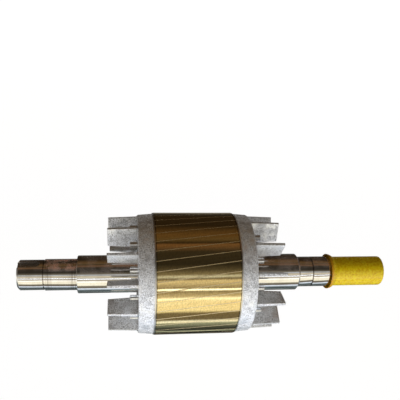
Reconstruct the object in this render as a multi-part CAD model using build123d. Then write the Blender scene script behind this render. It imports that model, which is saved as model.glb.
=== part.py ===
# Rotor of a squirrel-cage induction motor, with a push-on cap over its drive end.
# The shaft lies along X, with the drive end at +X. The origin is on the axis at the middle
# of the laminated core, and the fan's keyway faces +Z. All sizes are in millimetres.
from build123d import *
from math import cos, radians, tan
import os

# Laminated core
core_diameter = 177.0
core_length = 113.0
core_bore = 56.0

# Slots of the core: keystones that open to the rim, turned by one slot pitch over the core
slot_count = 40
slot_pitches_of_skew = 1.0
slot_depth = 24.5
slot_top_width = 6.8
slot_bottom_width = 4.0
slot_mouth_width = 1.0
slot_mouth_depth = 1.2
slot_shoulder_depth = 2.4
first_slot_angle = 8.1
slot_cut_overrun = 2.0

# Cage bars: the aluminium shrinks away from the slot walls as it cools
bar_shrinkage = 0.05

# End rings of the cage, with a band that is turned together with the core
ring_length = 23.0
ring_bore = 96.0
ring_band_length = 1.5
ring_band_step = 0.4
ring_side_step = 1.5
ring_draft = 4.5
ring_edge_radius = 1.5

# Fan blades cast on the end rings
blade_count = 12
blade_length = 41.0
blade_root_thickness = 4.8
blade_tip_thickness = 3.8
blade_root_width = 33.0
blade_tip_width = 28.5
blade_inset = 2.0
blade_taper = 1.5
blade_root_flare = 1.2
first_blade_angle = 26.8

# Studs for balance washers, midway between the blades
stud_length = 11.0
stud_diameter = 7.8
stud_circle = 142.0
stud_chamfer = 0.8

# Shaft, from the core outwards to the fan end
core_seat_overrun = 2.0
fan_side_collar_diameter = 54.5
fan_side_collar_length = 107.5
bearing_seat_diameter = 45.0
fan_side_seat_length = 47.0
fan_seat_diameter = 43.2
fan_seat_length = 35.5
relief_width = 1.6
relief_depth = 1.0
shaft_end_chamfer = 2.5
collar_edge_chamfer = 0.8

# Shaft, from the core outwards to the drive end
drive_side_collar_diameter = 54.0
drive_side_collar_length = 102.0
drive_side_taper_length = 3.2
shoulder_height = 0.6
drive_side_journal_length = 52.0
bearing_width = 19.0
circlip_groove_width = 1.85
circlip_groove_depth = 1.25
drive_end_diameter = 42.0
drive_end_length = 76.8
drive_end_chamfer = 1.5

# Keyways and centre holes
fan_key_width = 10.0
fan_keyway_depth = 5.0
fan_keyway_length = 31.0
drive_key_width = 12.0
drive_keyway_depth = 5.0
drive_keyway_length = 56.0
drive_keyway_setback = 8.0
keyway_cut_overrun = 5.0
centre_hole_diameter = 5.0
centre_cone_diameter = 10.6
centre_hole_depth = 12.0
centre_cone_angle = 60.0

# Cap over the drive end, with a flared mouth
cap_wall = 0.9
cap_clearance = 0.05
cap_flare_diameter = 52.8
cap_flare_length = 8.6
cap_mouth_overlap = 4.9
cap_end_radius = 1.5
cap_flare_bulge = 0.95

# Places worked out from the sizes above
core_radius = core_diameter / 2
core_face = core_length / 2
ring_face = core_face + ring_length
skew_angle = 360.0 / slot_count * slot_pitches_of_skew
ring_side_radius = core_radius - ring_side_step
ring_face_radius = ring_side_radius - (ring_length - ring_band_length) * tan(radians(ring_draft))
drive_side_shoulder = core_face + drive_side_collar_length
drive_side_journal_end = drive_side_shoulder + drive_side_journal_length
drive_end_face = drive_side_journal_end + drive_end_length
fan_side_shoulder = -core_face - fan_side_collar_length
fan_side_seat_end = fan_side_shoulder - fan_side_seat_length
fan_end_face = fan_side_seat_end - fan_seat_length


def turned(outline):
    """Solid of revolution about the shaft's axis from an outline of (x, radius) points."""
    return revolve(make_face(Polyline(*outline, close=True)), Axis.X)


def around_axis(piece, count, first_angle):
    """Copies of a piece that lies along +Y, spread evenly about the shaft's axis."""
    step = 360.0 / count
    return [Rot(X=first_angle + step * number) * piece for number in range(count)]


def slot_profile(shrinkage):
    """Outline of one slot at +Y on the plane X = 0: a keystone with a narrow mouth."""
    mouth = slot_mouth_width / 2 - shrinkage
    top = slot_top_width / 2 - shrinkage
    bottom = slot_bottom_width / 2 - shrinkage
    mouth_radius = core_radius + slot_cut_overrun
    neck_radius = core_radius - slot_mouth_depth
    shoulder_radius = neck_radius - slot_shoulder_depth
    floor_radius = core_radius - slot_depth + shrinkage
    right_side = [
        (floor_radius, bottom),
        (shoulder_radius, top),
        (neck_radius, mouth),
        (mouth_radius, mouth),
    ]
    left_side = [(radius, -offset) for radius, offset in reversed(right_side)]
    return Plane.YZ * make_face(Polyline(*right_side, *left_side, close=True))


def slot_prism(shrinkage):
    """One skewed slot, ruled between its two ends and longer than the core at both."""
    reach = core_face + slot_cut_overrun
    overrun_angle = skew_angle * slot_cut_overrun / core_length
    profile = slot_profile(shrinkage)
    fan_side = Pos(X=-reach) * Rot(X=overrun_angle) * profile
    drive_side = Pos(X=reach) * Rot(X=-skew_angle - overrun_angle) * profile
    return loft([fan_side, drive_side], ruled=True)


def core_blank(inner_radius):
    return turned([
        (-core_face, inner_radius),
        (-core_face, core_radius),
        (core_face, core_radius),
        (core_face, inner_radius),
    ])


def make_lamination_stack():
    slots = around_axis(slot_prism(0), slot_count, first_slot_angle)
    return core_blank(core_bore / 2) - slots


def make_end_ring():
    """End ring on the drive side, cast against the core's face."""
    bore_radius = ring_bore / 2
    ring = turned([
        (core_face, bore_radius),
        (core_face, core_radius - ring_band_step),
        (core_face + ring_band_length, core_radius - ring_band_step),
        (core_face + ring_band_length, ring_side_radius),
        (ring_face, ring_face_radius),
        (ring_face, bore_radius),
    ])
    rim = ring.edges().filter_by(GeomType.CIRCLE).group_by(Axis.X)[-1].sort_by(SortBy.RADIUS)[-1]
    return fillet(rim, ring_edge_radius)


def blade_section(place, width, thickness, outer_radius):
    return Pos(place, outer_radius - width / 2, 0) * (Plane.YZ * Rectangle(width, thickness))


def make_blade():
    """One fan blade on the drive side at +Y, thinner and narrower towards its tip."""
    root_outer = ring_face_radius - blade_inset
    root = blade_section(ring_face, blade_root_width, blade_root_thickness, root_outer)
    tip_outer = root_outer - blade_taper
    tip = blade_section(ring_face + blade_length, blade_tip_width, blade_tip_thickness, tip_outer)
    plate = loft([root, tip], ruled=True)
    foot = blade_section(
        ring_face,
        blade_root_width + blade_root_flare,
        blade_root_thickness + 2 * blade_root_flare,
        root_outer,
    )
    neck = blade_section(
        ring_face + blade_root_flare, blade_root_width, blade_root_thickness, root_outer
    )
    return plate + loft([foot, neck], ruled=True)


def make_stud():
    """One balancing stud on the drive side at +Y."""
    stud = Cylinder(stud_diameter / 2, stud_length, align=(Align.CENTER, Align.CENTER, Align.MIN))
    stud = chamfer(stud.edges().filter_by(GeomType.CIRCLE).sort_by(Axis.Z)[-1], stud_chamfer)
    return Pos(ring_face, stud_circle / 2, 0) * Rot(Y=90) * stud


def make_cage_end(blade_angle):
    """End ring of the drive side with its blades and studs."""
    half_step = 180.0 / blade_count
    blades = around_axis(make_blade(), blade_count, blade_angle)
    studs = around_axis(make_stud(), blade_count, blade_angle + half_step)
    return make_end_ring() + blades + studs


def make_rotor_cage():
    """Bars, rings, blades and studs, cast in one shot."""
    bar = slot_prism(bar_shrinkage) & core_blank(core_bore / 2)
    bars = around_axis(bar, slot_count, first_slot_angle)
    drive_end = make_cage_end(first_blade_angle - skew_angle)
    fan_end = mirror(make_cage_end(first_blade_angle), Plane.YZ)
    return drive_end + bars + fan_end


def make_keyway(width, depth, shaft_radius, start, end):
    """Cutter for a milled slot at +Z with round ends, from x = start to x = end."""
    outline = SlotOverall(end - start, width)
    cutter = extrude(outline, depth + keyway_cut_overrun)
    return Pos((start + end) / 2, 0, shaft_radius - depth) * cutter


def make_centre_hole():
    """Centre-drilled hole that enters along +X from the plane X = 0."""
    cone_radius = centre_cone_diameter / 2
    pilot_radius = centre_hole_diameter / 2
    cone_depth = (cone_radius - pilot_radius) / tan(radians(centre_cone_angle / 2))
    return turned([
        (0, 0),
        (0, cone_radius),
        (cone_depth, pilot_radius),
        (centre_hole_depth, pilot_radius),
        (centre_hole_depth + pilot_radius, 0),
    ])


def make_shaft():
    seat = bearing_seat_diameter / 2
    fan_seat = fan_seat_diameter / 2
    fan_side_collar = fan_side_collar_diameter / 2
    drive_side_collar = drive_side_collar_diameter / 2
    core_seat = core_bore / 2
    core_seat_end = core_face + core_seat_overrun
    drive_end = drive_end_diameter / 2
    groove_start = drive_side_shoulder + bearing_width
    groove_end = groove_start + circlip_groove_width
    shaft = turned([
        (fan_end_face, 0),
        (fan_end_face, fan_seat - shaft_end_chamfer),
        (fan_end_face + shaft_end_chamfer, fan_seat),
        (fan_side_seat_end, fan_seat),
        (fan_side_seat_end, fan_seat - relief_depth),
        (fan_side_seat_end + relief_width, fan_seat - relief_depth),
        (fan_side_seat_end + relief_width, seat),
        (fan_side_shoulder, seat),
        (fan_side_shoulder, fan_side_collar - collar_edge_chamfer),
        (fan_side_shoulder + collar_edge_chamfer, fan_side_collar),
        (-core_seat_end, fan_side_collar),
        (-core_seat_end, core_seat),
        (core_seat_end, core_seat),
        (core_seat_end, drive_side_collar),
        (drive_side_shoulder - drive_side_taper_length, drive_side_collar),
        (drive_side_shoulder, seat + shoulder_height),
        (drive_side_shoulder, seat),
        (groove_start, seat),
        (groove_start, seat - circlip_groove_depth),
        (groove_end, seat - circlip_groove_depth),
        (groove_end, seat),
        (drive_side_journal_end, seat),
        (drive_side_journal_end, drive_end),
        (drive_end_face - drive_end_chamfer, drive_end),
        (drive_end_face, drive_end - drive_end_chamfer),
        (drive_end_face, 0),
    ])
    shaft -= make_keyway(
        fan_key_width,
        fan_keyway_depth,
        fan_seat,
        fan_end_face - fan_key_width,
        fan_end_face + fan_keyway_length,
    )
    drive_keyway_end = drive_end_face - drive_keyway_setback
    shaft -= make_keyway(
        drive_key_width,
        drive_keyway_depth,
        drive_end,
        drive_keyway_end - drive_keyway_length,
        drive_keyway_end,
    )
    shaft -= Pos(X=fan_end_face) * make_centre_hole()
    shaft -= Pos(X=drive_end_face) * Rot(Z=180) * make_centre_hole()
    return shaft


def make_shaft_cap():
    """Thin push-on cap: closed round end, plain tube and a mouth that flares like a trumpet."""
    bore = drive_end_diameter / 2 + cap_clearance
    outside = bore + cap_wall
    rim = cap_flare_diameter / 2
    mouth = drive_side_journal_end - cap_mouth_overlap
    tube_start = mouth + cap_flare_length
    closed_end = drive_end_face + cap_wall
    middle = (mouth + tube_start) / 2
    outer_middle = (outside + rim) / 2 + cap_flare_bulge
    outer = Line((mouth, rim - cap_wall), (mouth, rim))
    outer += ThreePointArc((mouth, rim), (middle, outer_middle), (tube_start, outside))
    outer += Line((tube_start, outside), (closed_end - cap_end_radius, outside))
    corner = cap_end_radius * (1 - cos(radians(45)))
    outer += ThreePointArc(
        (closed_end - cap_end_radius, outside),
        (closed_end - corner, outside - corner),
        (closed_end, outside - cap_end_radius),
    )
    inner = Line((closed_end, outside - cap_end_radius), (closed_end, 0))
    inner += Line((closed_end, 0), (drive_end_face, 0))
    inner += Line((drive_end_face, 0), (drive_end_face, bore))
    inner += Line((drive_end_face, bore), (tube_start, bore))
    inner += ThreePointArc((tube_start, bore), (middle, outer_middle - cap_wall), (mouth, rim - cap_wall))
    return revolve(make_face(outer + inner), Axis.X)


pieces = {
    "shaft": make_shaft(),
    "lamination_stack": make_lamination_stack(),
    "rotor_cage": make_rotor_cage(),
    "shaft_cap": make_shaft_cap(),
}

os.makedirs("parts", exist_ok=True)
for name, piece in pieces.items():
    export_step(piece, f"parts/{name}.step")
    print(name, "volume", round(piece.volume / 1000, 1), "cm3", "solids", len(piece.solids()))
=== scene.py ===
# Motor rotor: ground shaft, laminated core, cast aluminium cage and a yellow cap on the drive end.
# The shaft lies along X with its drive end at +X, and the fan's keyway faces +Z.
# Sizes are in mm and angles in degrees, unless a note says otherwise.
import math

import bmesh
import bpy
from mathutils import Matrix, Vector


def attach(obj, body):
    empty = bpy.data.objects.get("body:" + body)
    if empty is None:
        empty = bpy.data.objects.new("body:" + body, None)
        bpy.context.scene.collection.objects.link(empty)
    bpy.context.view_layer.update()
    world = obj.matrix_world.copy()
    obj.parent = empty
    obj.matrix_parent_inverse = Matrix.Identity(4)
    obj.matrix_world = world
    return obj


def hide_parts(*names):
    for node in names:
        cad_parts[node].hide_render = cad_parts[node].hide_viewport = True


mm = 0.001
samePlace = 1e-6  # in metres, as is the next
mergeDistance = 1e-7
noiseRange = {"From Min": 0.3, "From Max": 0.7}  # holds nearly all values of a noise pattern


# Small helpers for modelling

def startFresh():
    if bpy.context.object and bpy.context.object.mode == "EDIT":
        bpy.ops.object.mode_set(mode="OBJECT")
    bpy.ops.object.select_all(action="DESELECT")


def makeActive(piece):
    startFresh()
    piece.select_set(True)
    bpy.context.view_layer.objects.active = piece


def pickFaces(piece, wanted):
    bpy.ops.mesh.select_mode(type="FACE")
    bpy.ops.mesh.select_all(action="DESELECT")
    mesh = bmesh.from_edit_mesh(piece.data)
    for face in mesh.faces:
        if wanted(face.calc_center_median(), face.normal):
            face.select_set(True)
    bmesh.update_edit_mesh(piece.data)


def pickEdges(piece, wanted):
    bpy.ops.mesh.select_mode(type="EDGE")
    bpy.ops.mesh.select_all(action="DESELECT")
    mesh = bmesh.from_edit_mesh(piece.data)
    for edge in mesh.edges:
        start, end = edge.verts
        if wanted(start.co, end.co):
            edge.select_set(True)
    bmesh.update_edit_mesh(piece.data)


def radiusOf(point):
    return math.hypot(point.y, point.z)


def facesAway(centre, normal):
    # on the drive side, straight away from the core
    return normal.x > 0.9


def facesCore(centre, normal):
    return normal.x < -0.9


def facesSideways(normal):
    return abs(normal.x) < 0.5


def pickRim(piece, x, radius):
    # the ring of edges where a turned piece has that place and radius
    def onRim(point):
        aside = abs(point.x - x * mm)
        return aside < samePlace and abs(radiusOf(point) - radius * mm) < samePlace

    pickEdges(piece, lambda start, end: onRim(start) and onRim(end))


def roundRims(piece, rims, width, steps):
    for x, radius in rims:
        pickRim(piece, x, radius)
        bpy.ops.mesh.bevel(offset=width * mm, segments=steps, affect="EDGES")


def finishMesh(smoothAngle):
    bpy.ops.mesh.select_all(action="SELECT")
    bpy.ops.mesh.remove_doubles(threshold=mergeDistance)
    bpy.ops.mesh.normals_make_consistent(inside=False)
    bpy.ops.object.mode_set(mode="OBJECT")
    bpy.ops.object.shade_smooth_by_angle(angle=math.radians(smoothAngle))


def turnPiece(name, outline, segments, hollow):
    # starts as a circle and is drawn out ring by ring, as on a lathe
    startFresh()
    startX, startRadius = outline[0]
    bpy.ops.mesh.primitive_circle_add(
        vertices=segments,
        radius=startRadius * mm,
        fill_type="NOTHING" if hollow else "NGON",
        location=(startX * mm, 0, 0),
        rotation=(0, math.pi / 2, 0),
    )
    piece = bpy.context.object
    piece.name = name
    bpy.ops.object.transform_apply(location=True, rotation=True, scale=True)
    bpy.ops.object.mode_set(mode="EDIT")
    bpy.ops.mesh.select_mode(type="VERT")
    bpy.ops.mesh.select_all(action="SELECT")
    for here, there in zip(outline, outline[1:]):
        step = (there[0] - here[0]) * mm
        growth = there[1] / here[1]
        bpy.ops.mesh.extrude_region_move(TRANSFORM_OT_translate={"value": (step, 0, 0)})
        bpy.ops.transform.resize(value=(1, growth, growth), center_override=(there[0] * mm, 0, 0))
    bpy.ops.mesh.select_all(action="SELECT")
    bpy.ops.mesh.remove_doubles(threshold=mergeDistance)
    bpy.ops.mesh.normals_make_consistent(inside=False)
    return piece


def copyTurned(piece, degrees):
    makeActive(piece)
    bpy.ops.object.duplicate()
    copy = bpy.context.object
    copy.rotation_euler.x = math.radians(degrees)
    bpy.ops.object.transform_apply(location=True, rotation=True, scale=True)
    return copy


def joinPieces(target, others):
    makeActive(target)
    for other in others:
        other.select_set(True)
    bpy.ops.object.join()
    return bpy.context.object


# Small helpers for materials

def toLinear(hexColour):
    # from an sRGB hex value to linear, by the sRGB curve
    channels = [int(hexColour[at:at + 2], 16) / 255 for at in (1, 3, 5)]
    linear = [c / 12.92 if c <= 0.04045 else ((c + 0.055) / 1.055) ** 2.4 for c in channels]
    return (*linear, 1.0)


def perMetre(size):
    # how often a pattern with that size in mm repeats in a metre
    return 1 / (size * mm)


def feed(tree, node, sources):
    # a node given as a source stands for its first output
    for socket, source in sources.items():
        output = source.outputs[0] if hasattr(source, "outputs") else source
        tree.links.new(output, node.inputs[socket])


def addNode(tree, kind, settings=None, values=None, links=None, stops=()):
    node = tree.nodes.new("ShaderNode" + kind)
    for name, setting in (settings or {}).items():
        setattr(node, name, setting)
    for socket, value in (values or {}).items():
        node.inputs[socket].default_value = value
    feed(tree, node, links or {})
    for number, (place, colour) in enumerate(stops):
        ramp = node.color_ramp.elements  # a new ramp has two stops
        stop = ramp[number] if number < 2 else ramp.new(place)
        stop.position = place
        stop.color = colour
    return node


def newMaterial(name):
    material = bpy.data.materials.new(name)
    material.use_nodes = True
    tree = material.node_tree
    tree.nodes.clear()
    shader = addNode(tree, "BsdfPrincipled")
    addNode(tree, "OutputMaterial", links={"Surface": shader})
    return material, tree, shader


# Camera, fitted to the photograph

camera = {
    "place": (-0.0946, -0.5287, 0.5287),  # in metres
    "turn": (48.5006, -4.1886, -5.2588),
    "lens": 45.96,
    "sensor": 36.0,
    "shift": (0.0333, 0.1094),
    "nearest": 0.01,  # in metres
}


def makeCamera():
    data = bpy.data.cameras.new("camera")
    data.lens = camera["lens"]
    data.sensor_width = camera["sensor"]
    data.shift_x, data.shift_y = camera["shift"]
    data.clip_start = camera["nearest"]
    holder = bpy.data.objects.new("camera", data)
    holder.location = camera["place"]
    holder.rotation_euler = [math.radians(angle) for angle in camera["turn"]]
    bpy.context.scene.collection.objects.link(holder)
    bpy.context.scene.camera = holder


# Studio: white floor, bright paper low in front, a narrow window just above level, and a dim
# warm room overhead and behind

studio = {
    "floorSize": 8.0,  # in metres
    "floorColour": "#F2F2F0",
    "floorGlow": 0.8,
    "floorGlowLevel": 1.21,
    "roomLevel": 1.3,
    "dimmerForMatt": 0.04,
    "brightestBand": 3.6,
    "endWallFade": (0.8, 0.98),
    "endWallStep": (-0.2, -0.04),
    "endWallLow": "#F2F0EA",
    "endWallHigh": "#6A655F",
}

# in metres and watts
softLights = {
    "tableLight": {
        "place": (0.0, -0.65, -0.086),
        "aim": (0.0, -0.65, 1.0),
        "size": (2.0, 1.0),
        "power": 14.0,
        "colour": "#E4ECFF",
    },
    "fillLight": {
        "place": (0.3, 1.9, 0.05),
        "aim": (0.0, 0.0, 0.0),
        "size": (2.0, 0.9),
        "power": 14.0,
        "colour": "#FFFFFF",
    },
}

# what stands round the object, by its height angle: 0 is level in front, 90 overhead,
# -90 straight down and 180 level behind, each with a colour and how bright it is
roomBands = [
    (-168, "#2A2622", 1.0),
    (-160, "#6C6A66", 1.0),
    (-132, "#85888A", 1.0),
    (-107, "#1A1D1B", 1.0),
    (-97, "#242A28", 1.0),
    (-93, "#A4B2B0", 1.4),
    (-88.5, "#2A3033", 1.0),
    (-76, "#485054", 1.0),
    (-61, "#98A6AC", 1.0),
    (-58, "#E4EEFF", 1.25),
    (-55, "#E4EEFF", 1.25),
    (-49.5, "#6E695F", 1.0),
    (-34, "#766F60", 1.0),
    (-28, "#FBF6E0", 1.0),
    (-7, "#FBF4DE", 1.0),
    (-3, "#FFFFFF", 1.5),
    (1, "#CCC4B2", 1.0),
    (12, "#8E8778", 1.0),
    (14.5, "#E4EEFF", 3.6),
    (16.8, "#968E7E", 1.0),
    (30, "#DCD2BC", 1.0),
    (34, "#665F52", 1.0),
    (38, "#CCD2DA", 1.0),
    (42, "#7E786A", 1.0),
    (50, "#4E483E", 1.0),
    (60, "#2C2822", 1.0),
    (84, "#332D25", 1.0),
    (98, "#6C5038", 1.0),
    (101.5, "#2E2418", 1.0),
    (108, "#54442E", 1.0),
    (118, "#584228", 1.0),
    (142, "#281F16", 1.0),
]


def makeFloor():
    startFresh()
    bpy.ops.mesh.primitive_plane_add(
        size=studio["floorSize"], location=(0, 0, -core["radius"] * mm)
    )
    floor = bpy.context.object
    floor.name = "floor"
    bpy.ops.object.transform_apply(location=True, rotation=True, scale=True)
    floor.visible_glossy = False
    floor.visible_diffuse = False
    material = bpy.data.materials.new("whitePaperFloor")
    material.use_nodes = True
    tree = material.node_tree
    tree.nodes.clear()
    paper = addNode(tree, "BsdfDiffuse", values={"Color": toLinear(studio["floorColour"])})
    # a little over 1, because the paper's own share is dim: the open floor comes out white
    glow = addNode(
        tree, "Emission", values={"Color": (1, 1, 1, 1), "Strength": studio["floorGlowLevel"]}
    )
    path = addNode(tree, "LightPath")
    share = addNode(
        tree,
        "Math",
        {"operation": "MULTIPLY"},
        {1: studio["floorGlow"]},
        {0: path.outputs["Is Camera Ray"]},
    )
    mix = addNode(tree, "MixShader", links={0: share, 1: paper, 2: glow})
    addNode(tree, "OutputMaterial", links={"Surface": mix})
    floor.data.materials.append(material)


def makeRoom():
    world = bpy.data.worlds.new("studioRoom")
    bpy.context.scene.world = world
    world.use_nodes = True
    tree = world.node_tree
    tree.nodes.clear()
    path = addNode(tree, "LightPath")
    direction = addNode(tree, "TexCoord")
    axes = addNode(tree, "SeparateXYZ", links={"Vector": direction.outputs["Generated"]})
    forward = addNode(tree, "Math", {"operation": "MULTIPLY"}, {1: -1.0}, {0: axes.outputs["Y"]})
    angle = addNode(
        tree, "Math", {"operation": "ARCTAN2"}, links={0: axes.outputs["Z"], 1: forward}
    )
    share = addNode(
        tree, "MapRange", values={"From Min": -math.pi, "From Max": math.pi}, links={"Value": angle}
    )
    # a band's brightness travels in its alpha
    stops = [
        ((degrees + 180) / 360, (*toLinear(colour)[:3], brightness / studio["brightestBand"]))
        for degrees, colour, brightness in roomBands
    ]
    ramp = addNode(tree, "ValToRGB", links={"Fac": share}, stops=stops)
    # matt surfaces take part of their light from the lamps, so the room is dimmer for them
    full = studio["brightestBand"] * studio["roomLevel"]
    mattShare = addNode(
        tree,
        "MapRange",
        values={"To Min": full, "To Max": full * (1 - studio["dimmerForMatt"])},
        links={"Value": path.outputs["Is Diffuse Ray"]},
    )
    level = addNode(
        tree, "Math", {"operation": "MULTIPLY"}, links={0: ramp.outputs["Alpha"], 1: mattShare}
    )
    bands = addNode(tree, "Background", links={"Color": ramp, "Strength": level})
    # seen along the shaft the bands would meet in a star, so they fade to a plain wall there
    sideways = addNode(tree, "Math", {"operation": "ABSOLUTE"}, links={0: axes.outputs["X"]})
    fadeStart, fadeEnd = studio["endWallFade"]
    fade = addNode(
        tree,
        "MapRange",
        {"interpolation_type": "SMOOTHSTEP"},
        {"From Min": fadeStart, "From Max": fadeEnd},
        {"Value": sideways},
    )
    stepStart, stepEnd = studio["endWallStep"]
    height = addNode(
        tree,
        "MapRange",
        values={"From Min": stepStart, "From Max": stepEnd},
        links={"Value": axes.outputs["Z"]},
    )
    wallTint = addNode(
        tree,
        "Mix",
        {"data_type": "RGBA"},
        {"A": toLinear(studio["endWallLow"]), "B": toLinear(studio["endWallHigh"])},
        {"Factor": height},
    )
    wall = addNode(
        tree,
        "Background",
        values={"Strength": studio["roomLevel"]},
        links={"Color": wallTint.outputs["Result"]},
    )
    room = addNode(tree, "MixShader", links={0: fade, 1: bands, 2: wall})
    white = addNode(tree, "Background", values={"Color": (1, 1, 1, 1), "Strength": 1.0})
    whole = addNode(tree, "MixShader", links={0: path.outputs["Is Camera Ray"], 1: room, 2: white})
    addNode(tree, "OutputWorld", links={"Surface": whole})


def addSoftLight(name, lamp):
    data = bpy.data.lights.new(name, "AREA")
    data.shape = "RECTANGLE"
    data.size, data.size_y = lamp["size"]
    data.energy = lamp["power"]
    data.color = toLinear(lamp["colour"])[:3]
    light = bpy.data.objects.new(name, data)
    light.location = lamp["place"]
    away = Vector(lamp["place"]) - Vector(lamp["aim"])
    light.rotation_euler = away.to_track_quat("Z", "Y").to_euler()
    light.visible_glossy = False
    light.visible_camera = False
    bpy.context.scene.collection.objects.link(light)


# Ground steel: a hard bright surface with very fine marks that run round the shaft

groundFinish = {
    "dark": "#D3CEC6",
    "light": "#E9E7E3",
    "smoothest": 0.07,
    "roughest": 0.13,
    "anisotropy": 0.6,
    "markSize": (1.205, 167.0, 167.0),  # coarser than real marks, so that they show
    "markShare": 0.35,
    "markDepth": 0.2,
    "stainSize": 16.7,
    "rubSize": (1.5625, 250.0, 250.0),  # these too are coarser than real ones
    "rubColour": "#8E847C",
    "rubLevels": (
        (0.02, 0.0), (0.05, 1.0), (0.2, 0.7), (0.26, 0.0),
        (0.72, 0.0), (0.78, 0.8), (0.95, 1.0), (0.98, 0.0),
    ),
    "patchColour": "#F4C0A8",
    "patchBesideSeat": 0.22,
    "patchHeights": (0.8, 0.95),  # shares of the seat's radius, where the patches start and are full
    "patchDullsMetal": 0.85,
    "patchRoughens": 0.2,
    # painted shade in the two narrow grooves
    "grooveShadeColour": "#A09890",
}


def groundSteel():
    finish = groundFinish
    material, tree, shader = newMaterial("groundSteel")
    shader.inputs["Anisotropic"].default_value = finish["anisotropy"]
    shader.inputs["Anisotropic Rotation"].default_value = 0.25  # a quarter turn
    place = addNode(tree, "TexCoord")
    stretch = addNode(
        tree,
        "Mapping",
        values={"Scale": [perMetre(size) for size in finish["markSize"]]},
        links={"Vector": place.outputs["Object"]},
    )
    marks = addNode(
        tree,
        "TexNoise",
        values={"Scale": 1.0, "Detail": 3.0, "Roughness": 0.6},
        links={"Vector": stretch},
    )
    stain = addNode(
        tree,
        "TexNoise",
        values={"Scale": perMetre(finish["stainSize"]), "Detail": 4.0, "Roughness": 0.6},
        links={"Vector": place.outputs["Object"]},
    )
    blend = addNode(
        tree, "Math", {"operation": "MULTIPLY_ADD"}, {1: finish["markShare"]}, {0: marks, 2: stain}
    )
    tint = addNode(
        tree,
        "ValToRGB",
        links={"Fac": blend},
        stops=[(0.4, toLinear(finish["dark"])), (0.8, toLinear(finish["light"]))],
    )
    gloss = addNode(
        tree,
        "MapRange",
        values={**noiseRange, "To Min": finish["smoothest"], "To Max": finish["roughest"]},
        links={"Value": marks},
    )
    # both ends of the fan-side bearing seat carry rub marks from a gauge
    axes = addNode(tree, "SeparateXYZ", links={"Vector": place.outputs["Object"]})
    seatStart = shaft["relief"][1] * mm
    seatEnd = shaft["fanShoulder"] * mm
    alongSeat = addNode(
        tree,
        "MapRange",
        values={"From Min": seatStart, "From Max": seatEnd},
        links={"Value": axes.outputs["X"]},
    )
    rubbed = addNode(
        tree,
        "ValToRGB",
        links={"Fac": alongSeat},
        stops=[(share, (level, level, level, 1)) for share, level in finish["rubLevels"]],
    )
    rubStretch = addNode(
        tree,
        "Mapping",
        values={"Scale": [perMetre(size) for size in finish["rubSize"]]},
        links={"Vector": place.outputs["Object"]},
    )
    rubLines = addNode(
        tree,
        "TexNoise",
        values={"Scale": 1.0, "Detail": 2.0, "Roughness": 0.5},
        links={"Vector": rubStretch},
    )
    rubDepth = addNode(
        tree,
        "MapRange",
        values={"From Min": 0.42, "From Max": 0.62, "To Max": 0.75},
        links={"Value": rubLines},
    )
    rub = addNode(tree, "Math", {"operation": "MULTIPLY"}, links={0: rubbed, 1: rubDepth})
    worn = addNode(
        tree,
        "Mix",
        {"data_type": "RGBA"},
        {"B": toLinear(finish["rubColour"])},
        {"Factor": rub, "A": tint},
    )
    # pinkish, duller and rougher patches of 1 to 2 cm lie along the top,
    # and stronger on the fan-side bearing seat
    patches = addNode(
        tree, "MapRange", values={"From Min": 0.4, "From Max": 0.56}, links={"Value": stain}
    )
    onSeat = addNode(
        tree,
        "Math",
        {"operation": "COMPARE"},
        {1: (seatStart + seatEnd) / 2, 2: (seatEnd - seatStart) / 2},
        {0: axes.outputs["X"]},
    )
    thickness = addNode(
        tree, "MapRange", values={"To Min": finish["patchBesideSeat"]}, links={"Value": onSeat}
    )
    patchWeight = addNode(
        tree, "Math", {"operation": "MULTIPLY"}, links={0: patches, 1: thickness}
    )
    patchStart, patchFull = [share * shaft["seat"] * mm for share in finish["patchHeights"]]
    onTop = addNode(
        tree,
        "MapRange",
        values={"From Min": patchStart, "From Max": patchFull},
        links={"Value": axes.outputs["Z"]},
    )
    topPatch = addNode(tree, "Math", {"operation": "MULTIPLY"}, links={0: patchWeight, 1: onTop})
    metal = addNode(
        tree,
        "Math",
        {"operation": "MULTIPLY_ADD"},
        {1: -finish["patchDullsMetal"], 2: 1.0},
        {0: topPatch},
    )
    patchedTint = addNode(
        tree,
        "Mix",
        {"data_type": "RGBA"},
        {"B": toLinear(finish["patchColour"])},
        {"Factor": topPatch, "A": worn.outputs["Result"]},
    )
    patchedGloss = addNode(
        tree, "Math", {"operation": "MULTIPLY_ADD"}, {1: finish["patchRoughens"]}, {0: topPatch, 2: gloss}
    )
    # painted shade: the two narrow grooves are coloured darker
    inGrooves = [
        addNode(
            tree,
            "Math",
            {"operation": "COMPARE"},
            {1: (start + end) / 2 * mm, 2: (end - start) / 2 * mm},
            {0: axes.outputs["X"]},
        )
        for start, end, radius in (shaft["relief"], shaft["groove"])
    ]
    grooveShade = addNode(
        tree,
        "Math",
        {"operation": "ADD", "use_clamp": True},
        links={0: inGrooves[0], 1: inGrooves[1]},
    )
    skin = addNode(
        tree,
        "Mix",
        {"data_type": "RGBA"},
        {"B": toLinear(finish["grooveShadeColour"])},
        {"Factor": grooveShade, "A": patchedTint.outputs["Result"]},
    )
    bump = addNode(
        tree,
        "Bump",
        values={"Strength": 0.06, "Distance": finish["markDepth"] * mm},
        links={"Height": marks},
    )
    grain = addNode(tree, "Tangent", {"direction_type": "RADIAL", "axis": "X"})
    feed(
        tree,
        shader,
        {
            "Base Color": skin.outputs["Result"],
            "Metallic": metal,
            "Roughness": patchedGloss,
            "Normal": bump,
            "Tangent": grain,
        },
    )
    return material


# Milled steel: a keyway's walls and floor carry the cutter's marks and look duller than ground steel

milledFinish = {
    "dark": "#7E766E",
    "light": "#B0A8A0",
    "metallic": 0.7,
    "smoothest": 0.3,
    "roughest": 0.45,
    "cutSize": 1.0,
}


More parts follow.
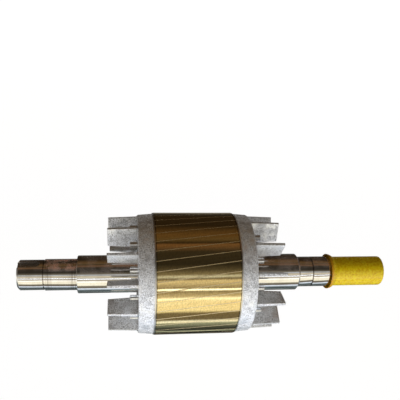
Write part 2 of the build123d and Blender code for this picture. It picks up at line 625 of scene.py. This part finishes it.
def milledSteel():
    finish = milledFinish
    material, tree, shader = newMaterial("milledSteel")
    shader.inputs["Metallic"].default_value = finish["metallic"]
    place = addNode(tree, "TexCoord")
    cuts = addNode(
        tree,
        "TexNoise",
        values={"Scale": perMetre(finish["cutSize"]), "Detail": 2.0, "Roughness": 0.5},
        links={"Vector": place.outputs["Object"]},
    )
    tint = addNode(
        tree,
        "ValToRGB",
        links={"Fac": cuts},
        stops=[(0.35, toLinear(finish["dark"])), (0.65, toLinear(finish["light"]))],
    )
    gloss = addNode(
        tree,
        "MapRange",
        values={**noiseRange, "To Min": finish["smoothest"], "To Max": finish["roughest"]},
        links={"Value": cuts},
    )
    feed(tree, shader, {"Base Color": tint, "Roughness": gloss})
    return material


# Turned core: the sheets' edges under a thin amber varnish, so bright light comes back gold

varnishFinish = {
    "dark": "#DCBE80",
    "light": "#F6E6B0",
    "smoothest": 0.03,
    "roughest": 0.07,
    "streakLength": 111.0,
    "streakWidth": 0.983,
    "waveLength": 250.0,
    "waveDepth": 1.0,
    "sheetSize": (1.43, 3.33, 3.33),  # the real edges are 0.5 mm apart, too fine to show
    "sheetDepth": 0.1,
    "ringShadeFromEnd": (1.6, 0.6),  # how far in from the end face the painted shade starts and is full
    "ringShadeFromRim": (2.5, 0.5),  # and how far in from the rim
    "ringShadeLevel": 0.2,
}


def varnishedCore():
    finish = varnishFinish
    material, tree, shader = newMaterial("varnishedElectricalSteel")
    shader.inputs["Metallic"].default_value = 1.0
    place = addNode(tree, "TexCoord")
    axes = addNode(tree, "SeparateXYZ", links={"Vector": place.outputs["Object"]})
    angle = addNode(
        tree, "Math", {"operation": "ARCTAN2"}, links={0: axes.outputs["Z"], 1: axes.outputs["Y"]}
    )
    slant = math.radians(core["skew"]) / (core["length"] * mm)
    turned = addNode(
        tree, "Math", {"operation": "MULTIPLY_ADD"}, {1: slant}, {0: axes.outputs["X"], 2: angle}
    )
    # the streaks and the waves from tooth to tooth follow the skew, round the core by angle
    along = addNode(tree, "CombineXYZ", links={"X": axes.outputs["X"], "Y": turned})
    streaksPerRadian = core["radius"] / finish["streakWidth"]
    stretch = addNode(
        tree,
        "Mapping",
        values={"Scale": (perMetre(finish["streakLength"]), streaksPerRadian, 1.0)},
        links={"Vector": along},
    )
    streaks = addNode(
        tree,
        "TexNoise",
        values={"Scale": 1.0, "Detail": 4.0, "Roughness": 0.65},
        links={"Vector": stretch},
    )
    teeth = addNode(
        tree,
        "Mapping",
        values={"Scale": (perMetre(finish["waveLength"]), core["slots"] / math.tau, 1.0)},
        links={"Vector": along},
    )
    uneven = addNode(
        tree,
        "TexNoise",
        values={"Scale": 1.0, "Detail": 1.0, "Roughness": 0.5},
        links={"Vector": teeth},
    )
    sheets = addNode(
        tree,
        "Mapping",
        values={"Scale": [perMetre(size) for size in finish["sheetSize"]]},
        links={"Vector": place.outputs["Object"]},
    )
    grain = addNode(
        tree,
        "TexNoise",
        values={"Scale": 1.0, "Detail": 3.0, "Roughness": 0.7},
        links={"Vector": sheets},
    )
    tint = addNode(
        tree,
        "ValToRGB",
        links={"Fac": streaks},
        stops=[(0.3, toLinear(finish["dark"])), (0.7, toLinear(finish["light"]))],
    )
    dots = addNode(
        tree,
        "MapRange",
        values={"From Min": 0.3, "From Max": 0.6, "To Min": 0.7},
        links={"Value": grain},
    )
    # painted shade: the last sheets, beside the rings, are coloured darker, but not on the end faces
    outward = addNode(tree, "Math", {"operation": "ABSOLUTE"}, links={0: axes.outputs["X"]})
    endStart, endFull = [(core["length"] / 2 - inset) * mm for inset in finish["ringShadeFromEnd"]]
    nearEnd = addNode(
        tree,
        "MapRange",
        values={"From Min": endStart, "From Max": endFull},
        links={"Value": outward},
    )
    across = addNode(tree, "CombineXYZ", links={"X": axes.outputs["Y"], "Y": axes.outputs["Z"]})
    outFromAxis = addNode(tree, "VectorMath", {"operation": "LENGTH"}, links={0: across})
    rimStart, rimFull = [(core["radius"] - inset) * mm for inset in finish["ringShadeFromRim"]]
    nearRim = addNode(
        tree,
        "MapRange",
        values={"From Min": rimStart, "From Max": rimFull},
        links={"Value": outFromAxis.outputs["Value"]},
    )
    corner = addNode(tree, "Math", {"operation": "MULTIPLY"}, links={0: nearEnd, 1: nearRim})
    # painted shade beside the rings
    ringShade = addNode(
        tree,
        "MapRange",
        values={"To Min": 1.0, "To Max": finish["ringShadeLevel"]},
        links={"Value": corner},
    )
    shade = addNode(tree, "Math", {"operation": "MULTIPLY"}, links={0: dots, 1: ringShade})
    varnish = addNode(tree, "VectorMath", {"operation": "SCALE"}, links={0: tint, "Scale": shade})
    gloss = addNode(
        tree,
        "MapRange",
        values={**noiseRange, "To Min": finish["smoothest"], "To Max": finish["roughest"]},
        links={"Value": grain},
    )
    wave = addNode(
        tree,
        "Bump",
        values={"Strength": 0.08, "Distance": finish["waveDepth"] * mm},
        links={"Height": uneven},
    )
    bump = addNode(
        tree,
        "Bump",
        values={"Strength": 0.12, "Distance": finish["sheetDepth"] * mm},
        links={"Height": grain, "Normal": wave},
    )
    feed(tree, shader, {"Base Color": varnish, "Roughness": gloss, "Normal": bump})
    return material


# Cast aluminium: a speckled skin from the die, with shiny and dull patches of about 1 cm side by side

castFinish = {
    "dark": "#AEAEAC",
    "light": "#FDFEFF",
    "speckleSize": 1.316,
    "speckleShare": 1.9,
    "speckleDepth": 0.4,
    "cloudSize": 11.1,
    "dullRoughness": 0.55,
    "shinyRoughness": 0.3,
    "shinyMetallic": 0.55,
    # painted shade in the corners: its colour and how far it reaches
    "cornerShadeColour": "#6E675F",
    "cornerShadeReach": 9.0,
}


def castAluminium():
    finish = castFinish
    material, tree, shader = newMaterial("castAluminium")
    place = addNode(tree, "TexCoord")
    speckle = addNode(
        tree,
        "TexNoise",
        values={"Scale": perMetre(finish["speckleSize"]), "Detail": 2.0, "Roughness": 0.6},
        links={"Vector": place.outputs["Object"]},
    )
    cloud = addNode(
        tree,
        "TexNoise",
        values={"Scale": perMetre(finish["cloudSize"]), "Detail": 4.0, "Roughness": 0.6},
        links={"Vector": place.outputs["Object"]},
    )
    blend = addNode(
        tree,
        "Math",
        {"operation": "MULTIPLY_ADD"},
        {1: finish["speckleShare"]},
        {0: speckle, 2: cloud},
    )
    spread = addNode(
        tree, "MapRange", values={"From Min": 0.95, "From Max": 1.95}, links={"Value": blend}
    )
    tint = addNode(
        tree,
        "ValToRGB",
        links={"Fac": spread},
        stops=[(0.27, toLinear(finish["dark"])), (0.6, toLinear(finish["light"]))],
    )
    gloss = addNode(
        tree,
        "MapRange",
        values={
            "From Min": 0.44,
            "From Max": 0.6,
            "To Min": finish["dullRoughness"],
            "To Max": finish["shinyRoughness"],
        },
        links={"Value": cloud},
    )
    shine = addNode(
        tree,
        "MapRange",
        values={"From Min": 0.44, "From Max": 0.62, "To Max": finish["shinyMetallic"]},
        links={"Value": cloud},
    )
    # painted shade: the colour darkens in the corners, round each root, by how occluded they are
    corner = addNode(
        tree, "AmbientOcclusion", {"samples": 8}, {"Distance": finish["cornerShadeReach"] * mm}
    )
    paintedCornerShade = addNode(
        tree,
        "MapRange",
        values={"From Min": 0.35, "From Max": 0.85, "To Min": 1.0, "To Max": 0.0},
        links={"Value": corner.outputs["AO"]},
    )
    cornerShadedTint = addNode(
        tree,
        "Mix",
        {"data_type": "RGBA"},
        {"B": toLinear(finish["cornerShadeColour"])},
        {"Factor": paintedCornerShade, "A": tint},
    )
    bump = addNode(
        tree,
        "Bump",
        values={"Strength": 0.4, "Distance": finish["speckleDepth"] * mm},
        links={"Height": speckle},
    )
    feed(
        tree,
        shader,
        {
            "Base Color": cornerShadedTint.outputs["Result"],
            "Metallic": shine,
            "Roughness": gloss,
            "Normal": bump,
        },
    )
    return material


# Worked aluminium: the bands are turned bright with the core, the slot mouths lie under its
# varnish, and rounded edges and studs are rubbed bright by handling

workedMarkSize = (1.11, 50.0, 50.0)  # coarser than a real tool's marks, so that they show

workedFinishes = {
    "turnedAluminium": {"dark": "#D8D4CA", "light": "#F6F2E8", "metallic": 1.0, "roughness": 0.3},
    "varnishedAluminium": {"dark": "#D0B884", "light": "#E6D2A6", "metallic": 0.5, "roughness": 0.6},
    "rubbedAluminium": {"dark": "#D4D6D8", "light": "#F4F5F6", "metallic": 1.0, "roughness": 0.3},
}


def workedAluminium(name):
    finish = workedFinishes[name]
    material, tree, shader = newMaterial(name)
    shader.inputs["Metallic"].default_value = finish["metallic"]
    shader.inputs["Roughness"].default_value = finish["roughness"]
    place = addNode(tree, "TexCoord")
    stretch = addNode(
        tree,
        "Mapping",
        values={"Scale": [perMetre(size) for size in workedMarkSize]},
        links={"Vector": place.outputs["Object"]},
    )
    marks = addNode(
        tree, "TexNoise", values={"Scale": 1.0, "Detail": 2.0}, links={"Vector": stretch}
    )
    tint = addNode(
        tree,
        "ValToRGB",
        links={"Fac": marks},
        stops=[(0.3, toLinear(finish["dark"])), (0.7, toLinear(finish["light"]))],
    )
    feed(tree, shader, {"Base Color": tint})
    return material


# Soft polyethylene: a satin yellow cap with cloudy thin and thick places

capFinish = {
    "dark": "#DEB006",
    "light": "#F8E012",
    "ior": 1.51,
    "smoothest": 0.22,
    "roughest": 0.34,
    "cloudSize": 3.33,
    "cloudDepth": 0.3,
    # painted shade inside the flare
    "flareShadeColour": "#D4941A",
    "flareShadeReach": (0.6, 5.0),  # from the mouth, where the flare's painted shade starts to fade and is gone
}


def yellowPolyethylene():
    finish = capFinish
    material, tree, shader = newMaterial("yellowPolyethylene")
    shader.inputs["IOR"].default_value = finish["ior"]
    place = addNode(tree, "TexCoord")
    cloud = addNode(
        tree,
        "TexNoise",
        values={"Scale": perMetre(finish["cloudSize"]), "Detail": 3.0, "Roughness": 0.6},
        links={"Vector": place.outputs["Object"]},
    )
    tint = addNode(
        tree,
        "ValToRGB",
        links={"Fac": cloud},
        stops=[(0.3, toLinear(finish["dark"])), (0.7, toLinear(finish["light"]))],
    )
    # painted shade: the flare by the mouth is coloured orange-brown
    axes = addNode(tree, "SeparateXYZ", links={"Vector": place.outputs["Object"]})
    flareStart, flareEnd = [(cap["mouth"] + reach) * mm for reach in finish["flareShadeReach"]]
    flare = addNode(
        tree,
        "MapRange",
        values={"From Min": flareStart, "From Max": flareEnd, "To Min": 1.0, "To Max": 0.0},
        links={"Value": axes.outputs["X"]},
    )
    body = addNode(
        tree,
        "Mix",
        {"data_type": "RGBA"},
        {"B": toLinear(finish["flareShadeColour"])},
        {"Factor": flare, "A": tint},
    )
    gloss = addNode(
        tree,
        "MapRange",
        values={**noiseRange, "To Min": finish["smoothest"], "To Max": finish["roughest"]},
        links={"Value": cloud},
    )
    bump = addNode(
        tree,
        "Bump",
        values={"Strength": 0.2, "Distance": finish["cloudDepth"] * mm},
        links={"Height": cloud},
    )
    feed(tree, shader, {"Base Color": body.outputs["Result"], "Roughness": gloss, "Normal": bump})
    return material


# Shaft, turned and ground from one bar. A groove is given by its start, end and radius,
# and a keyway by its start, end, width and the height of its floor.

shaft = {
    "fanEnd": -246.5,
    "fanSeat": 21.6,
    "relief": (-211.0, -209.4, 20.6),
    "seat": 22.5,
    "fanShoulder": -164.0,
    "fanCollar": 27.25,
    "coreSeat": 28.0,
    "coreSeatEnd": 58.5,
    "driveCollar": 27.0,
    "driveTaper": 155.3,
    "driveShoulder": 158.5,
    "shoulderTop": 23.1,
    "groove": (177.5, 179.35, 21.25),
    "journalEnd": 210.5,
    "driveSeat": 21.0,
    "driveEnd": 287.3,
    "endChamfer": 2.5,
    "driveChamfer": 1.5,
    "collarChamfer": 0.8,
    "centreHole": 2.5,
    "centreCone": 5.3,
    "centreDepth": 12.0,
    "coneDepth": 4.85,
    "segments": 168,
    "edge": 0.25,
    "edgeSteps": 2,
    "smoothAngle": 28.0,
    "fanKeyway": (-256.5, -215.5, 10.0, 16.6),
    "driveKeyway": (223.3, 279.3, 12.0, 16.0),
    "keywayEndSteps": 16,
    "keywayEndShare": 0.999,  # of half the width, so that the round ends don't quite close
    "lip": 0.35,
    "lipSteps": 2,
    "keywayMargin": 1.0,  # leeway round a keyway when its lips are looked up
    "lipMargin": 0.02,
    "wallMargin": 0.01,
    "rimMargin": 0.3,  # faces nearer to the rim than this stay ground
}


def cutKeyway(piece, keyway):
    start, end, width, floor = keyway
    top = shaft["coreSeat"]
    startFresh()
    bpy.ops.mesh.primitive_cube_add(
        size=1.0, location=((start + end) / 2 * mm, 0, (floor + top) / 2 * mm)
    )
    cutter = bpy.context.object
    cutter.scale = ((end - start) * mm, width * mm, (top - floor) * mm)
    bpy.ops.object.transform_apply(location=True, rotation=True, scale=True)
    bpy.ops.object.mode_set(mode="EDIT")
    pickEdges(cutter, lambda p, q: abs(p.x - q.x) + abs(p.y - q.y) < samePlace)
    bpy.ops.mesh.bevel(
        offset=width / 2 * mm * shaft["keywayEndShare"],
        segments=shaft["keywayEndSteps"],
        affect="EDGES",
    )
    bpy.ops.object.mode_set(mode="OBJECT")
    makeActive(piece)
    cut = piece.modifiers.new("keyway", "BOOLEAN")
    cut.operation = "DIFFERENCE"
    cut.solver = "EXACT"
    cut.object = cutter
    bpy.ops.object.modifier_apply(modifier=cut.name)
    bpy.data.objects.remove(cutter)

    # the long lips are broken a little, as after filing
    bpy.ops.object.mode_set(mode="EDIT")
    margin = shaft["keywayMargin"]

    def onLip(point):
        inside = start - margin < point.x / mm < end + margin
        onWall = abs(abs(point.y) - width / 2 * mm) < shaft["lipMargin"] * mm
        return inside and onWall and point.z > (floor + margin) * mm

    pickEdges(piece, lambda p, q: onLip(p) and onLip(q) and abs(p.x - q.x) > abs(p.z - q.z))
    bpy.ops.mesh.bevel(offset=shaft["lip"] * mm, segments=shaft["lipSteps"], affect="EDGES")
    bpy.ops.object.mode_set(mode="OBJECT")


def inKeyway(point, keyway):
    # true for the middle of a face on the walls or the floor, and not on the ground rim
    start, end, width, floor = keyway
    reach = (width / 2 + shaft["wallMargin"]) * mm
    inside = start < point.x / mm < end and abs(point.y) < reach and point.z > 0
    return inside and radiusOf(point) < (shaft["driveSeat"] - shaft["rimMargin"]) * mm


def makeShaft():
    reliefStart, reliefEnd, reliefRadius = shaft["relief"]
    grooveStart, grooveEnd, grooveRadius = shaft["groove"]
    fanChamfer = shaft["fanEnd"] + shaft["endChamfer"]
    collarStart = shaft["fanShoulder"] + shaft["collarChamfer"]
    outline = [
        (shaft["fanEnd"] + shaft["centreDepth"], shaft["centreHole"]),
        (shaft["fanEnd"] + shaft["coneDepth"], shaft["centreHole"]),
        (shaft["fanEnd"], shaft["centreCone"]),
        (shaft["fanEnd"], shaft["fanSeat"] - shaft["endChamfer"]),
        (fanChamfer, shaft["fanSeat"]),
        (reliefStart, shaft["fanSeat"]),
        (reliefStart, reliefRadius),
        (reliefEnd, reliefRadius),
        (reliefEnd, shaft["seat"]),
        (shaft["fanShoulder"], shaft["seat"]),
        (shaft["fanShoulder"], shaft["fanCollar"] - shaft["collarChamfer"]),
        (collarStart, shaft["fanCollar"]),
        (-shaft["coreSeatEnd"], shaft["fanCollar"]),
        (-shaft["coreSeatEnd"], shaft["coreSeat"]),
        (shaft["coreSeatEnd"], shaft["coreSeat"]),
        (shaft["coreSeatEnd"], shaft["driveCollar"]),
        (shaft["driveTaper"], shaft["driveCollar"]),
        (shaft["driveShoulder"], shaft["shoulderTop"]),
        (shaft["driveShoulder"], shaft["seat"]),
        (grooveStart, shaft["seat"]),
        (grooveStart, grooveRadius),
        (grooveEnd, grooveRadius),
        (grooveEnd, shaft["seat"]),
        (shaft["journalEnd"], shaft["seat"]),
        (shaft["journalEnd"], shaft["driveSeat"]),
        (shaft["driveEnd"] - shaft["driveChamfer"], shaft["driveSeat"]),
        (shaft["driveEnd"], shaft["driveSeat"] - shaft["driveChamfer"]),
        (shaft["driveEnd"], shaft["centreCone"]),
        (shaft["driveEnd"] - shaft["coneDepth"], shaft["centreHole"]),
        (shaft["driveEnd"] - shaft["centreDepth"], shaft["centreHole"]),
    ]
    sharpRims = [
        (fanChamfer, shaft["fanSeat"]),
        (reliefStart, shaft["fanSeat"]),
        (reliefEnd, shaft["seat"]),
        (collarStart, shaft["fanCollar"]),
        (shaft["driveTaper"], shaft["driveCollar"]),
        (grooveStart, shaft["seat"]),
        (grooveEnd, shaft["seat"]),
        (shaft["journalEnd"], shaft["seat"]),
    ]
    piece = turnPiece("groundShaft", outline, shaft["segments"], hollow=False)
    roundRims(piece, sharpRims, shaft["edge"], shaft["edgeSteps"])
    finishMesh(shaft["smoothAngle"])
    keyways = (shaft["fanKeyway"], shaft["driveKeyway"])
    for keyway in keyways:
        cutKeyway(piece, keyway)
    bpy.ops.object.shade_smooth_by_angle(angle=math.radians(shaft["smoothAngle"]))
    piece.data.materials.append(groundSteel())
    piece.data.materials.append(milledSteel())
    for face in piece.data.polygons:
        if any(inKeyway(face.center, keyway) for keyway in keyways):
            face.material_index = 1
    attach(piece, "root")
    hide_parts("shaft")
    print("shaft turned:", len(piece.data.polygons), "faces")


# Core, turned true on the shaft; its 40 slot mouths lean by one slot pitch

core = {
    "radius": 88.5,
    "length": 113.0,
    "slots": 40,
    "skew": 9.0,
    "firstSlot": 8.1,
    "facesPerPitch": 14,
    "steps": 12,
    "mouthDepth": 1.6,
    "smoothAngle": 28.0,
}


def onSlotMouth(centre, normal):
    # true for the narrow faces of the rim that lie over a slot's mouth
    if not facesSideways(normal):
        return False
    pitch = 360 / core["slots"]
    travel = centre.x / mm / core["length"] + 0.5
    angle = math.degrees(math.atan2(centre.z, centre.y)) + travel * core["skew"]
    offset = (angle - core["firstSlot"] + pitch / 2) % pitch - pitch / 2
    return abs(offset) < pitch / core["facesPerPitch"] / 2


def sinkFaces(depth):
    bpy.ops.mesh.extrude_region_shrink_fatten(TRANSFORM_OT_shrink_fatten={"value": -depth * mm})


def makeCore():
    half = core["length"] / 2 * mm
    segment = 360 / core["slots"] / core["facesPerPitch"]
    startFresh()
    bpy.ops.mesh.primitive_circle_add(
        vertices=core["slots"] * core["facesPerPitch"],
        radius=core["radius"] * mm,
        fill_type="NGON",
        location=(-half, 0, 0),
        rotation=(0, math.pi / 2, 0),
    )
    piece = bpy.context.object
    piece.name = "laminatedCore"
    bpy.ops.object.transform_apply(location=True, rotation=True, scale=True)
    piece.rotation_euler.x = math.radians(core["firstSlot"] - segment / 2)
    bpy.ops.object.transform_apply(location=True, rotation=True, scale=True)
    bpy.ops.object.mode_set(mode="EDIT")
    bpy.ops.mesh.select_all(action="SELECT")
    for step in range(core["steps"]):
        bpy.ops.mesh.extrude_region_move(
            TRANSFORM_OT_translate={"value": (2 * half / core["steps"], 0, 0)}
        )
        bpy.ops.transform.rotate(
            value=math.radians(core["skew"] / core["steps"]),
            orient_axis="X",
            orient_type="GLOBAL",
            center_override=(0, 0, 0),
        )
    bpy.ops.mesh.select_all(action="SELECT")
    bpy.ops.mesh.normals_make_consistent(inside=False)

    # the mouths' faces are copied off for the bars, then sunk to leave a groove
    pickFaces(piece, onSlotMouth)
    bpy.ops.mesh.duplicate()
    bpy.ops.mesh.separate(type="SELECTED")
    bars = [other for other in bpy.context.selected_objects if other != piece][0]
    bars.name = "barMouths"
    pickFaces(piece, onSlotMouth)
    sinkFaces(core["mouthDepth"])
    finishMesh(core["smoothAngle"])
    piece.data.materials.append(varnishedCore())
    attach(piece, "root")
    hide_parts("lamination_stack")

    makeActive(bars)
    bpy.ops.object.mode_set(mode="EDIT")
    bpy.ops.mesh.select_all(action="SELECT")
    sinkFaces(core["mouthDepth"])
    finishMesh(core["smoothAngle"])
    print("core turned:", len(piece.data.polygons), "faces,", core["slots"], "slot mouths")
    return bars


# Cage: end rings, blades and studs cast in one shot with the bars

cage = {
    "bandRadius": 88.1,
    "bandMargin": 0.3,
    "bandEnd": 58.0,
    "sideRadius": 87.0,
    "face": 79.5,
    "faceRadius": 85.31,
    "rimRound": 1.5,
    "rimSteps": 5,
    "bore": 48.0,
    "boreRound": 0.8,
    "boreSteps": 3,
    "segments": 168,
    "smoothAngle": 28.0,
    "blades": 12,
    "fanAngle": 26.8,
    "footDepth": 0.2,  # how far blades and studs run into the ring
    "rubbedArea": 15.0,  # square mm; the faces of rounded edges and studs are smaller
}

blade = {
    "length": 41.0,
    "rootWidth": 33.0,
    "tipWidth": 28.5,
    "rootThickness": 4.8,
    "tipThickness": 3.8,
    "rootOuter": 83.31,
    "tipOuter": 81.81,
    "flare": 1.2,
    "flareHeight": 1.5,
    "edge": 0.55,
    "edgeSteps": 3,
    "smoothAngle": 35.0,
}

stud = {
    "radius": 3.9,
    "length": 11.0,
    "circle": 71.0,
    "chamfer": 0.8,
    "chamferSteps": 3,
    "sides": 28,
    "flare": 1.0,
    "flareHeight": 1.0,
    "smoothAngle": 35.0,
}


def makeRing():
    coreFace = core["length"] / 2
    outline = [
        (coreFace, cage["bore"]),
        (coreFace, cage["bandRadius"]),
        (cage["bandEnd"], cage["bandRadius"]),
        (cage["bandEnd"], cage["sideRadius"]),
        (cage["face"], cage["faceRadius"]),
        (cage["face"], cage["bore"]),
        (coreFace, cage["bore"]),
    ]
    ring = turnPiece("endRing", outline, cage["segments"], hollow=True)
    roundRims(ring, [(cage["face"], cage["faceRadius"])], cage["rimRound"], cage["rimSteps"])
    roundRims(ring, [(cage["face"], cage["bore"])], cage["boreRound"], cage["boreSteps"])
    finishMesh(cage["smoothAngle"])
    return ring


def spreadFoot(piece, height, acrossShare, aroundShare, middle):
    # cut just above the ring, then the foot is widened about its middle and sunk into the ring
    root = cage["face"]
    bpy.ops.mesh.select_all(action="SELECT")
    bpy.ops.mesh.bisect(plane_co=((root + height) * mm, 0, 0), plane_no=(1, 0, 0))
    pickFaces(piece, facesCore)
    bpy.ops.transform.resize(
        value=(1, acrossShare, aroundShare), center_override=(root * mm, middle * mm, 0)
    )
    bpy.ops.transform.translate(value=(-cage["footDepth"] * mm, 0, 0))


def makeBlade():
    root = cage["face"]
    tip = root + blade["length"]
    width = blade["rootWidth"]
    thickness = blade["rootThickness"]
    rootMiddle = blade["rootOuter"] - width / 2
    tipMiddle = blade["tipOuter"] - blade["tipWidth"] / 2
    startFresh()
    bpy.ops.mesh.primitive_cube_add(
        size=1.0, location=((root + tip) / 2 * mm, rootMiddle * mm, 0)
    )
    piece = bpy.context.object
    piece.name = "blade"
    piece.scale = (blade["length"] * mm, width * mm, thickness * mm)
    bpy.ops.object.transform_apply(location=True, rotation=True, scale=True)
    bpy.ops.object.mode_set(mode="EDIT")

    # drawn in towards the tip, so that the blade leaves the die
    pickFaces(piece, facesAway)
    bpy.ops.transform.resize(
        value=(1, blade["tipWidth"] / width, blade["tipThickness"] / thickness),
        center_override=(tip * mm, rootMiddle * mm, 0),
    )
    bpy.ops.transform.translate(value=(0, (tipMiddle - rootMiddle) * mm, 0))
    pickEdges(piece, lambda start, end: max(start.x, end.x) > (root + tip) / 2 * mm)
    bpy.ops.mesh.bevel(offset=blade["edge"] * mm, segments=blade["edgeSteps"], affect="EDGES")
    spread = 2 * blade["flare"]
    spreadFoot(piece, blade["flareHeight"], 1 + spread / width, 1 + spread / thickness, rootMiddle)
    finishMesh(blade["smoothAngle"])
    return piece


def makeStud():
    root = cage["face"]
    end = (root + stud["length"]) * mm
    startFresh()
    bpy.ops.mesh.primitive_cylinder_add(
        vertices=stud["sides"],
        radius=stud["radius"] * mm,
        depth=stud["length"] * mm,
        location=((root + stud["length"] / 2) * mm, stud["circle"] * mm, 0),
        rotation=(0, math.pi / 2, 0),
    )
    piece = bpy.context.object
    piece.name = "stud"
    bpy.ops.object.transform_apply(location=True, rotation=True, scale=True)
    bpy.ops.object.mode_set(mode="EDIT")
    pickEdges(piece, lambda start, stop: abs(start.x - end) + abs(stop.x - end) < samePlace)
    bpy.ops.mesh.bevel(offset=stud["chamfer"] * mm, segments=stud["chamferSteps"], affect="EDGES")
    spread = 1 + stud["flare"] / stud["radius"]
    spreadFoot(piece, stud["flareHeight"], spread, spread, stud["circle"])
    finishMesh(stud["smoothAngle"])
    return piece


def pickFinish(face):
    # 0 as cast, then the worked finishes in their order: 1 turned, 2 varnished, 3 rubbed
    radius = radiusOf(face.center) / mm
    onRim = facesSideways(face.normal)
    if onRim and radius > (cage["bandRadius"] + core["radius"]) / 2:
        return 2
    if onRim and radius > cage["bandRadius"] - cage["bandMargin"]:
        return 1
    pastRing = abs(face.center.x) > cage["face"] * mm
    return 3 if pastRing and face.area < cage["rubbedArea"] * mm * mm else 0


def makeCage(bars):
    step = 360 / cage["blades"]
    ring = makeRing()
    oneBlade = makeBlade()
    oneStud = makeStud()
    parts = []
    for number in range(cage["blades"]):
        angle = cage["fanAngle"] - core["skew"] + step * number
        parts.append(copyTurned(oneBlade, angle))
        parts.append(copyTurned(oneStud, angle + step / 2))
    bpy.data.objects.remove(oneBlade)
    bpy.data.objects.remove(oneStud)
    driveSide = joinPieces(ring, parts)

    # the fan side is the same casting, mirrored and turned by the skew
    fanSide = copyTurned(driveSide, core["skew"])
    fanSide.scale.x = -1
    bpy.ops.object.transform_apply(location=True, rotation=True, scale=True)
    bpy.ops.object.mode_set(mode="EDIT")
    bpy.ops.mesh.select_all(action="SELECT")
    bpy.ops.mesh.normals_make_consistent(inside=False)
    bpy.ops.object.mode_set(mode="OBJECT")
    piece = joinPieces(driveSide, [fanSide, bars])
    piece.name = "castCage"
    piece.data.materials.clear()
    piece.data.materials.append(castAluminium())
    for name in workedFinishes:
        piece.data.materials.append(workedAluminium(name))
    for face in piece.data.polygons:
        face.material_index = pickFinish(face)
    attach(piece, "root")
    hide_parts("rotor_cage")
    print("cage cast:", len(piece.data.polygons), "faces,", cage["blades"] * 2, "blades")


# Cap pushed over the drive end, with a mouth that flares like a trumpet

cap = {
    "mouth": 205.6,
    "rim": 26.4,
    "tubeStart": 214.2,
    "clearance": 0.05,
    "wall": 0.9,
    "bulge": 0.95,
    "poleRadius": 1.0,  # the flat middle of the closed end, where the turning starts and stops
    "endRound": 1.5,
    "endSteps": 5,
    "rimRound": 0.3,
    "rimSteps": 2,
    "flareSteps": 10,
    "segments": 144,
    "smoothAngle": 40.0,
}


def arcThrough(start, middle, end, steps):
    # points on the circle through three points
    (ax, ay), (bx, by), (cx, cy) = start, middle, end
    fourAreas = 2 * (ax * (by - cy) + bx * (cy - ay) + cx * (ay - by))
    aa, bb, cc = ax * ax + ay * ay, bx * bx + by * by, cx * cx + cy * cy
    centreX = (aa * (by - cy) + bb * (cy - ay) + cc * (ay - by)) / fourAreas
    centreY = (aa * (cx - bx) + bb * (ax - cx) + cc * (bx - ax)) / fourAreas
    radius = math.hypot(ax - centreX, ay - centreY)
    first = math.atan2(ay - centreY, ax - centreX)
    last = math.atan2(cy - centreY, cx - centreX)
    turn = (last - first + math.pi) % math.tau - math.pi
    angles = [first + turn * step / steps for step in range(steps + 1)]
    return [(centreX + radius * math.cos(t), centreY + radius * math.sin(t)) for t in angles]


def makeCap():
    steps = cap["flareSteps"]
    tubeStart = cap["tubeStart"]
    bore = shaft["driveSeat"] + cap["clearance"]
    tube = bore + cap["wall"]
    closedEnd = shaft["driveEnd"] + cap["wall"]
    middle = (cap["mouth"] + tubeStart) / 2
    swell = (tube + cap["rim"]) / 2 + cap["bulge"]
    outerRim = (cap["mouth"], cap["rim"])
    innerRim = (cap["mouth"], cap["rim"] - cap["wall"])
    inside = arcThrough((tubeStart, bore), (middle, swell - cap["wall"]), innerRim, steps)
    outside = arcThrough(outerRim, (middle, swell), (tubeStart, tube), steps)
    outline = [
        (shaft["driveEnd"], cap["poleRadius"]),
        (shaft["driveEnd"], bore),
        *inside,
        *outside,
        (closedEnd, tube),
        (closedEnd, cap["poleRadius"]),
    ]
    piece = turnPiece("shaftCap", outline, cap["segments"], hollow=False)
    roundRims(piece, [(closedEnd, tube)], cap["endRound"], cap["endSteps"])
    roundRims(piece, [outerRim, innerRim], cap["rimRound"], cap["rimSteps"])
    finishMesh(cap["smoothAngle"])
    piece.data.materials.append(yellowPolyethylene())
    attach(piece, "root")
    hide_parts("shaft_cap")
    print("cap moulded:", len(piece.data.polygons), "faces")


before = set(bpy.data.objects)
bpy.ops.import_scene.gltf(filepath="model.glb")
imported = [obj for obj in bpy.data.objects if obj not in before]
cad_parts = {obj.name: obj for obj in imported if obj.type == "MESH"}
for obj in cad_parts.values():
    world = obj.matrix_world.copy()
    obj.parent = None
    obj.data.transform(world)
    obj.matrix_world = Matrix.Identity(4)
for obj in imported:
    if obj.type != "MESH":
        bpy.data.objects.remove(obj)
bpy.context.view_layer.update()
print("frame loaded:", sorted(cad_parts))

bpy.context.scene.view_settings.view_transform = "Standard"
makeCamera()
makeFloor()
makeRoom()
for name, lamp in softLights.items():
    addSoftLight(name, lamp)
print("studio lit")

makeShaft()
barMouths = makeCore()
makeCage(barMouths)
makeCap()
